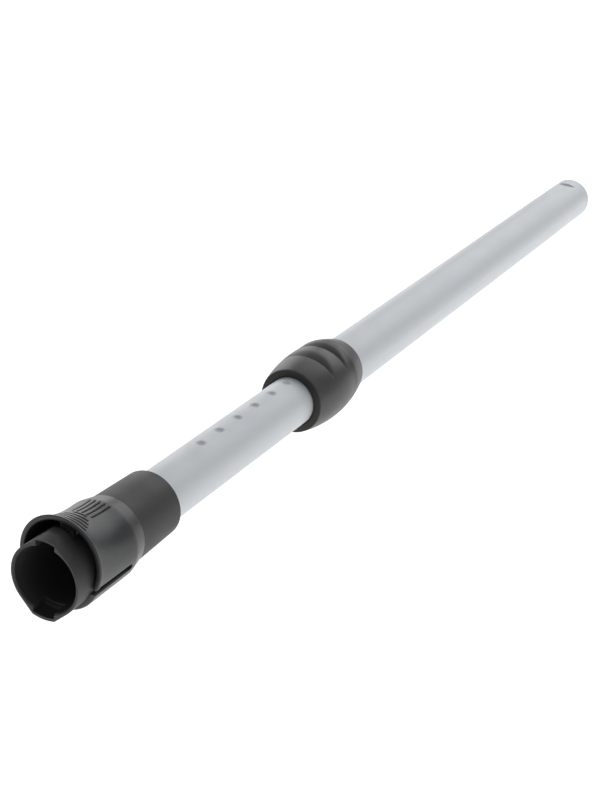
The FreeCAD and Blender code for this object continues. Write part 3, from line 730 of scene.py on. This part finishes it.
class WAND_OT_release(bpy.types.Operator):
    """Thumb release: flared tongue, rear ring and lower shell"""

    bl_idname = "wand.release"
    bl_label = "Thumb release"

    # roundings of the edges, and the run from the wall to the seat, in mm
    tongue_edge, shell_edge, rear_edge, seat_run = 0.8, 0.6, 0.35, 1.5

    def execute(self, context):
        s = context.scene.wand_release
        dress(self.tongue(s, context.scene.wand_grip), "sleeve_plastic")
        tongue = bpy.data.objects["thumb_tongue"]
        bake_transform(tongue)
        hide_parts("release_tongue")
        stand_for(self.shell(s), "release_sleeve", "handle_tube", "sleeve_plastic")
        return {"FINISHED"}

    def barrel(self, s, x, rear):
        """Outside radius of the straight barrel and its rear bevel."""
        fall = (s.radius - s.rear_radius) / MM
        bevel_x = s.bevel_start / MM
        share = np.clip((x - bevel_x) / (rear - bevel_x), 0, 1)
        soft = 0.12
        eased = np.where(share < soft, share ** 2 / (2 * soft), share - soft / 2) / (1 - soft / 2)
        return s.radius / MM - fall * eased - round_off(rear - x, self.rear_edge)

    def tongue(self, s, g):
        """The thumb tongue with the rear ring's upper part: rows along x, columns round to the slits."""
        start, _, _ = span("release_tongue")
        rear = span("release_sleeve")[1]
        slit_end = s.slit_end / MM
        # rows and columns lie close together over the grip, and at the lip and the slits
        grip_end = 47.2
        xs = steps((start, start + 0.9, 0.12), (start + 0.9, grip_end, 0.22), (grip_end, rear - 0.5, 1.0),
                   (rear - 0.5, rear, 0.1))
        near = steps((0, 0.3, 0.005), (0.3, 0.955, 0.015), (0.955, 0.988, 0.0035), (0.988, 1.0, 0.002))
        shares = np.concatenate([-near[:0:-1], near])
        x = np.broadcast_to(xs[:, None], (len(xs), len(shares)))
        flare = np.clip((slit_end - xs) / (slit_end - start), 0, 1)[:, None] ** 2
        barrel = self.barrel(s, xs, rear)[:, None]
        crown = barrel + (s.crown - s.radius) / MM * flare
        side_y = barrel * math.sin(s.slit_angle) - s.pinch / MM * flare
        side_z = barrel * math.cos(s.slit_angle)
        middle = (crown ** 2 - side_y ** 2 - side_z ** 2) / (2 * (crown - side_z))
        bow = crown - middle
        half = np.arctan2(side_y, side_z - middle)
        turn = half * shares[None, :]
        from_slit = (half - np.abs(turn)) * bow + np.where(xs < slit_end, 0.0, FAR)[:, None]
        inset = round_off(np.minimum(from_slit, x - start), self.tongue_edge)
        bead_run, rim_run, rim_out = 0.5, 0.25, 3
        bead = s.bead / MM * (1 - ease((x - start - s.bead_width / MM) / bead_run))
        rim = s.rim_depth / MM * (1 - ease((from_slit - s.rim / MM) / rim_run))
        rim *= 1 - ease((x - slit_end + rim_out) / rim_out)
        outer = bow + bead - rim - inset
        thick = s.wall / MM + (s.lip_wall - s.wall) / MM * flare
        seat = (barrel - s.seat / MM) * ease((xs - slit_end) / self.seat_run)[:, None]
        inner = bow - np.maximum(thick, seat) + inset
        foot = (s.pusher_foot / MM - middle) / np.maximum(np.cos(turn), 0.2)
        pusher_x = (s.pusher_start + s.pusher_length / 2) / MM
        at_pusher = np.argmin(np.abs(xs - pusher_x))
        over = np.abs(x - pusher_x) < s.pusher_length / MM / 2
        over &= np.abs(bow[at_pusher] * np.sin(turn[at_pusher]))[None, :] < s.pusher_width / MM / 2
        inner = np.where(over, foot, inner)
        piece = walled_piece("thumb_tongue", *(around(x, r, turn, middle) for r in (outer, inner)))
        both = {"across": np.concatenate([(bow * turn).ravel() * MM] * 2),
                "outside": np.repeat([1.0, 0.0], turn.size)}
        for name, values in both.items():
            piece.data.attributes.new(name, "FLOAT", "POINT").data.foreach_set("value", values)
        return worked(piece, grip_tree(), "sleeve_plastic", {
            "Cross first": g.cross_first, "Cross pitch": g.cross_pitch, "Cross last": float(g.cross_number - 1),
            "Arch width": g.arch_width, "Arch length": g.arch_length, "Long start": g.long_start,
            "Long end": g.long_start + g.long_length, "Long pitch": g.long_pitch,
            "Long last": (g.long_number - 1) / 2, "Width": g.width, "Depth": g.depth})

    def shell(self, s):
        """Half shell below the slits, with the rear ring's lower part."""
        front, rear, _ = span("release_sleeve")
        radius, wall, seat = s.radius / MM, s.wall / MM, s.seat / MM
        edge, end = s.slit_angle, s.slit_end / MM
        low_edge = math.acos((radius * math.cos(edge) - s.slit_width / MM) / radius)
        gap = s.slit_width / MM / 2
        lip_x = front + s.lip / MM
        # rows and columns lie close together at the front, the lip, the bevel and the edges of the slits
        bevel_x = s.bevel_start / MM - 0.5
        xs = steps((front, front + 2, 0.12), (front + 2, lip_x, 0.5), (lip_x, lip_x + 0.1, 0.1),
                   (lip_x + 0.1, end, 1.5), (end, bevel_x, 0.3), (bevel_x, rear - 0.5, 0.5), (rear - 0.5, rear, 0.1))
        strip = np.linspace(edge, low_edge, 17)
        far_edge, rim = 2 * math.pi - low_edge, 0.05
        lower = np.concatenate([np.linspace(low_edge, low_edge + rim, 11)[:-1],
                                np.linspace(low_edge + rim, far_edge - rim, 85),
                                np.linspace(far_edge - rim, far_edge, 11)[1:]])
        turns = np.concatenate([strip[:-1], lower, (2 * math.pi - strip[::-1])[1:]])
        x, turn = np.meshgrid(xs, turns, indexing="ij")
        middle = (edge + low_edge) / 2
        off = np.minimum(np.abs(turn - middle), np.abs(2 * math.pi - turn - middle)) / (low_edge - edge) * 2
        bulge = gap * np.sqrt(np.clip(1 - off ** 2, 0, 1))
        bent = x + bulge * np.clip((rear - x) / (rear - end), 0, 1) * (x >= end - TINY)
        in_lower = (turns > low_edge - TINY) & (turns < far_edge + TINY)
        from_slit = np.where(x < end, np.minimum(turn - low_edge, far_edge - turn) * radius, FAR)
        inset = np.maximum(round_off(np.clip(from_slit, 0, None), self.shell_edge), round_off(x - front, s.nose / MM))
        outer = around(bent, self.barrel(s, bent, rear) - inset, turn)
        bore = np.where(bent < lip_x + 0.05, seat, np.where(bent < end, radius - wall, seat))
        bore = np.where(bent < end, bore, radius - wall - (radius - wall - seat) * ease((bent - end) / self.seat_run))
        inner = around(bent, bore, turn)
        kept = np.zeros((len(xs) - 1, len(turns) - 1), bool)
        kept |= (in_lower[:-1] & in_lower[1:])[None, :]
        kept |= (xs[:-1] >= end - TINY)[:, None]
        return walled_piece("release_shell", outer, inner, kept)


class WAND_OT_slide(bpy.types.Operator):
    """Sliding lock: egg-shaped sleeve with two thumb scoops and a brow, and its dark front ring"""

    bl_idname = "wand.slide"
    bl_label = "Sliding lock"

    # rounded crossings of the egg's forms, the ring's edges, the rear bore's lead-in and the rear edge's draw, in mm
    crease, ring_edge, lead, edge_draw = 0.5, 0.3, 0.3, 0.1

    def execute(self, context):
        s = context.scene.wand_slide
        front, end, _ = span("slide_sleeve")
        ring_x = span("slide_front_ring")[0]
        edge_x = end - s.edge / MM
        turns = np.radians(steps((-66, 66, 0.8), (66, 294, 3))[:-1])
        # rows lie close together over the scoops and the brow
        fine_x, fine_end = 276, 317
        xs = steps((front, fine_x, 1.2), (fine_x, fine_end, 0.3), (fine_end, edge_x, 0.6))
        x, turn = np.meshgrid(xs, turns, indexing="ij")
        slope = math.tan(s.tilt)
        along = x
        for _ in range(4):
            r = self.egg(s, along, turn, ring_x, end)
            along = x + slope * r * np.cos(turn)
        lift = slope * (along - ring_x)
        rows = [around(x, r, turn, lift)]
        last = rows[0][-1]
        for t in np.linspace(0.15, 1, 6):
            bend = t * math.pi / 2
            row = last.copy()
            row[:, 0] = edge_x + s.edge / MM * math.sin(bend)
            inset = s.edge / MM * (1 - math.cos(bend)) + self.edge_draw * t
            row[:, 1:] *= 1 - inset / np.linalg.norm(last[:, 1:], axis=1)[:, None]
            rows.append(row[None])
        bore, rear_bore, flange_x = s.bore / MM, s.rear_bore / MM, end - s.flange / MM
        for place, r in ((end, rear_bore + self.lead), (end - self.lead, rear_bore), (flange_x, rear_bore),
                         (flange_x, bore), (front, bore)):
            rows.append(around(place, r, turns)[None])
        egg = turned_piece("slide_egg", np.concatenate(rows))
        for room in self.catch_rooms(s):
            combine(egg, room, "DIFFERENCE")
        soften(egg.data)
        stand_for(egg, "slide_sleeve", "slide", "slide_plastic")
        ring = softened(merged_copy("slide_ring", "slide_front_ring"), self.ring_edge)
        stand_for(ring, "slide_front_ring", "slide", "ring_plastic")
        return {"FINISHED"}

    def catch_rooms(self, s):
        """Room inside the sleeve for the catch's head, and a wider, lower one for its trunnions."""
        low, high = (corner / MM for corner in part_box("lock_catch"))
        play, run = s.catch_play / MM, s.travel / MM
        foot = s.bore / MM - 3
        for half, top in ((s.catch_half / MM, high.z), (high.y, high.z - s.trunnion_drop / MM)):
            x, y = np.meshgrid([low.x - run - play, high.x + play], [-half - play, half + play], indexing="ij")
            lid, floor = (np.stack([x, y, np.full(x.shape, z)], axis=-1) for z in (top + play, foot))
            yield walled_piece("catch_room", lid, floor)

    def egg(self, s, x, turn, ring_x, end):
        """Radius of the egg about its own tilted axis."""
        first = Vector((ring_x - s.trim / MM, s.front_radius / MM))
        last = Vector((end - s.edge / MM, s.rear_radius / MM))
        top = Vector(((ring_x + end) / 2, s.belly_radius / MM))
        a, b = first - top, last - top
        bend = 2 * (a.x * b.y - a.y * b.x)
        centre_x = top.x + (b.y * a.length_squared - a.y * b.length_squared) / bend
        centre_r = top.y + (a.x * b.length_squared - b.x * a.length_squared) / bend
        size = (top - Vector((centre_x, centre_r))).length
        belly = centre_r + np.sqrt(size ** 2 - (x - centre_x) ** 2)
        r = -soft_min(-belly, -self.brow(s, x, turn, ring_x), self.crease)
        for start, run in ((s.scoop_front, s.scoop_front_length), (s.scoop_rear, s.scoop_rear_length)):
            r = soft_min(r, self.scoop(s, x - ring_x - start / MM, run / MM, turn), self.crease)
        return r

    def brow(self, s, x, turn, ring_x):
        """Radius of the brow behind the rear scoop, turned about a raised line."""
        crest_x = ring_x + (s.scoop_rear + s.scoop_rear_length) / MM
        sag = 1.3
        past = np.clip((x - crest_x) * MM / s.brow_length, 0, 2)
        fall = s.brow_drop / MM + (s.brow_end - s.brow_drop) / MM * past ** sag
        rise = s.brow_rise / MM
        # ahead of the rear scoop the brow sinks away under the egg
        sunk, sunk_run = 6, 8
        sunk_x = ring_x + s.scoop_rear / MM + 2
        size = s.belly_radius / MM - fall - rise - sunk * ease((sunk_x - x) / sunk_run)
        return rise * np.cos(turn) + np.sqrt(size ** 2 - (rise * np.sin(turn)) ** 2)

    def scoop(self, s, x, run, turn):
        """Radius of a scoop's surface at a distance from its front edge."""
        belly, depth = s.belly_radius / MM, s.scoop_depth / MM
        floor = belly - depth
        edge_z = belly * math.cos(s.scoop_angle)
        drop = (belly ** 2 - floor ** 2) / (2 * (floor - edge_z))
        floor_x = s.scoop_floor * run
        front = np.clip((floor_x - x) / floor_x, 0, None)
        back = np.clip((x - floor_x) / (run - floor_x), 0, None)
        soft, fullness, run_out = 0.12, 1.7, 0.3
        swell = np.where(back < 1, 1 - (1 - np.minimum(back, 1)) ** fullness, 1 + run_out * (back - 1))
        rise = depth * (np.hypot(front, soft) - soft + swell)
        ring = floor + drop + rise
        return np.sqrt(ring ** 2 - (drop * np.sin(turn)) ** 2) - drop * np.cos(turn)


class WAND_OT_works(bpy.types.Operator):
    """Hidden works: the return spring is wound, and bushes, seal and catch keep their CAD form"""

    bl_idname = "wand.works"
    bl_label = "Hidden works"

    def execute(self, context):
        s = context.scene.wand_slide
        start, end, _ = span("return_spring")
        wire = s.wire / 2
        coil = new_piece("return_coil", bpy.data.meshes.new("return_coil"))
        worked(coil, coil_tree(), "spring_steel", {
            "Start": start * MM + wire, "Length": (end - start) * MM - s.wire, "Turns": float(s.turns),
            "Radius": s.coil, "Wire radius": wire})
        soften(coil.data)
        dress(coil, "spring_steel")
        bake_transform(coil)
        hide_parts("return_spring")
        slots = {row["node"]: row["material_slot"] for row in frame["record"]["subparts"]}
        for node in ("end_bush", "guide_bush", "tube_seal", "lock_catch"):
            dress(frame["nodes"][node], slots[node])
        return {"FINISHED"}


class WAND_OT_stage(bpy.types.Operator):
    """Floor, soft studio light and camera"""

    bl_idname = "wand.stage"
    bl_label = "Stage"

    def execute(self, context):
        s = context.scene.wand_stage
        self.floor(s)
        self.lights(s)
        self.camera(s)
        # plain photographic tones, so that the pale floor reads as white
        context.scene.view_settings.view_transform = "Standard"
        return {"FINISHED"}

    def floor(self, s):
        """A pale floor that glows a little, as a white sweep in a studio does."""
        mesh = bpy.data.meshes.new("floor")
        far, z = s.floor_half, -s.floor_drop
        mesh.from_pydata([(-far, -far, z), (far, -far, z), (far, far, z), (-far, far, z)], [], [(0, 1, 2, 3)])
        floor = new_piece("floor", mesh)
        material = bpy.data.materials.new("pale studio floor")
        material.use_nodes = True
        sockets = material.node_tree.nodes["Principled BSDF"].inputs
        for key, value in {"Base Color": linear("#c8c8c6"), "Roughness": 0.9, "Emission Color": linear("#ffffff"),
                           "Emission Strength": s.floor_glow}.items():
            sockets[key].default_value = value
        mesh.materials.append(material)

    def lights(self, s):
        """A room that is brighter before the socket, and softboxes behind the far end, on the left and on the right."""
        world = bpy.data.worlds.new("studio")
        world.use_nodes = True
        tree = world.node_tree
        way = add_node(tree, "ShaderNodeSeparateXYZ", [add_node(tree, "ShaderNodeTexCoord").outputs["Generated"]])
        level = add_node(tree, MAP_RANGE, {"Value": way.outputs["X"], "From Min": -0.4, "From Max": 0.8,
                                           "To Min": s.room_front, "To Max": s.room_back})
        back = tree.nodes["Background"]
        back.inputs["Color"].default_value = linear("#f4f7fb")
        tree.links.new(level.outputs[0], back.inputs["Strength"])
        bpy.context.scene.world = world
        # each lamp's place and width in metres, and its power
        for name, place, size, power in (("backdrop softbox", (2.1, -0.1, 1.3), 1.8, s.backdrop),
                                         ("edge softbox", (1.5, 1.25, 0.62), 1.2, s.edge),
                                         ("side softbox", (0.7, 1.5, 0.95), 1.5, s.side),
                                         ("fill softbox", (0.5, -1.5, 0.75), 1.6, s.fill)):
            data = bpy.data.lights.new(name, "AREA")
            data.energy, data.size = power, size
            lamp = new_piece(name, data)
            lamp.location = place
            lamp.visible_camera = False
            aim = Vector(LAMP_AIM) - Vector(place)
            lamp.rotation_euler = aim.to_track_quat("-Z", "Y").to_euler()

    def camera(self, s):
        """A camera before the socket, above it and to its right."""
        data = bpy.data.cameras.new("camera")
        data.lens, data.sensor_width = s.lens, 36.0
        camera = new_piece("camera", data)
        right, up = Vector(CAMERA_RIGHT), Vector(CAMERA_UP)
        turn = Matrix((right, up, right.cross(up))).transposed().to_4x4()
        camera.matrix_world = Matrix.Translation(CAMERA_PLACE) @ turn
        bpy.context.scene.camera = camera


class WAND_PT_panel(bpy.types.Panel):
    """Buttons that build the wand's pieces"""

    bl_idname = "WAND_PT_panel"
    bl_label = "Wand"
    bl_space_type = "VIEW_3D"
    bl_region_type = "UI"
    bl_category = "Wand"

    def draw(self, context):
        for group in groups:
            box = self.layout.box()
            settings = getattr(context.scene, group)
            for key in settings.bl_rna.properties.keys():
                if key not in ("rna_type", "name"):
                    box.prop(settings, key)
        for operator in operators:
            self.layout.operator(operator.bl_idname)


groups = {"wand_colours": WandColours, "wand_tubes": WandTubes, "wand_release": WandRelease, "wand_grip": WandGrip,
          "wand_socket": WandSocket, "wand_slide": WandSlide, "wand_stage": WandStage}
operators = (WAND_OT_outer_tube, WAND_OT_inner_tube, WAND_OT_socket, WAND_OT_release, WAND_OT_slide, WAND_OT_works,
             WAND_OT_stage)
finishes = {}


def register():
    """Adds the settings, operators and panel."""
    for name, group in groups.items():
        bpy.utils.register_class(group)
        setattr(bpy.types.Scene, name, bpy.props.PointerProperty(type=group))
    for item in operators + (WAND_PT_panel,):
        bpy.utils.register_class(item)


def unregister():
    """Takes them out again."""
    for item in (WAND_PT_panel,) + operators[::-1]:
        bpy.utils.unregister_class(item)
    for name, group in groups.items():
        delattr(bpy.types.Scene, name)
        bpy.utils.unregister_class(group)


def main():
    """Builds every piece in order."""
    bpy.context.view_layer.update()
    register()
    finishes.update(make_finishes(bpy.context.scene.wand_colours))
    bpy.ops.wand.outer_tube()
    bpy.ops.wand.inner_tube()
    bpy.ops.wand.socket()
    bpy.ops.wand.release()
    bpy.ops.wand.slide()
    bpy.ops.wand.works()
    bpy.ops.wand.stage()


if __name__ == "__main__":
    main()
